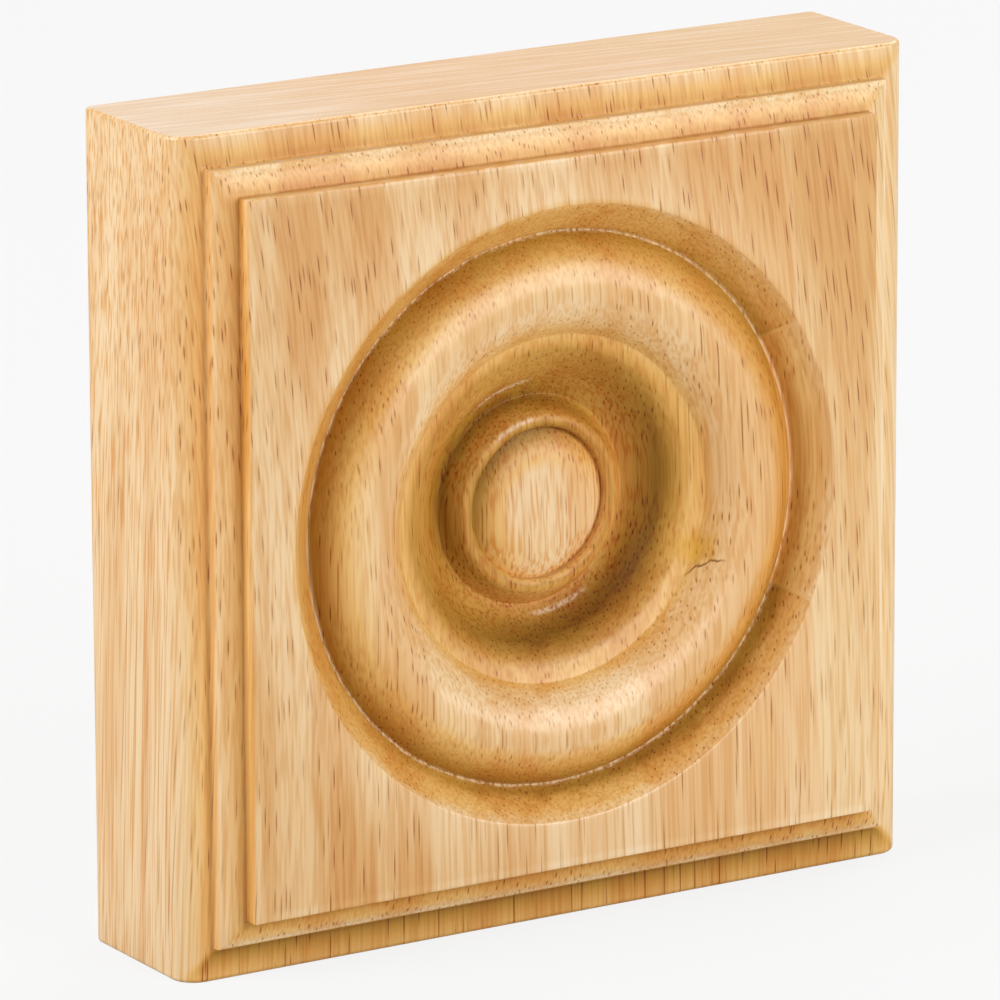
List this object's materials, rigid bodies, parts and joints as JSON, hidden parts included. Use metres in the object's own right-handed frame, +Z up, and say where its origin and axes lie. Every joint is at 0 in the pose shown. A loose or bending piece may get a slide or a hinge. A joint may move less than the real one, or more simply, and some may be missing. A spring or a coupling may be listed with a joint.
{
  "type": "corner rosette block",
  "caption": "Square wooden corner block for door and window casing, with a moulded border round a raised panel and a turned bull's-eye rosette in its face.",
  "frame": {"origin": "centre of the flat back face that lies against the wall", "axes": "+Z up along the grain, -Y out of the carved face towards the viewer, +X to the viewer's right"},
  "size_m": [0.0888, 0.0222, 0.0888],
  "materials": {
    "lacquered_wood": "pale straight-grained hardwood under a clear satin lacquer"
  },
  "bodies": {
    "root": {"rosette_block": "lacquered_wood"}
  },
  "joints": []
}
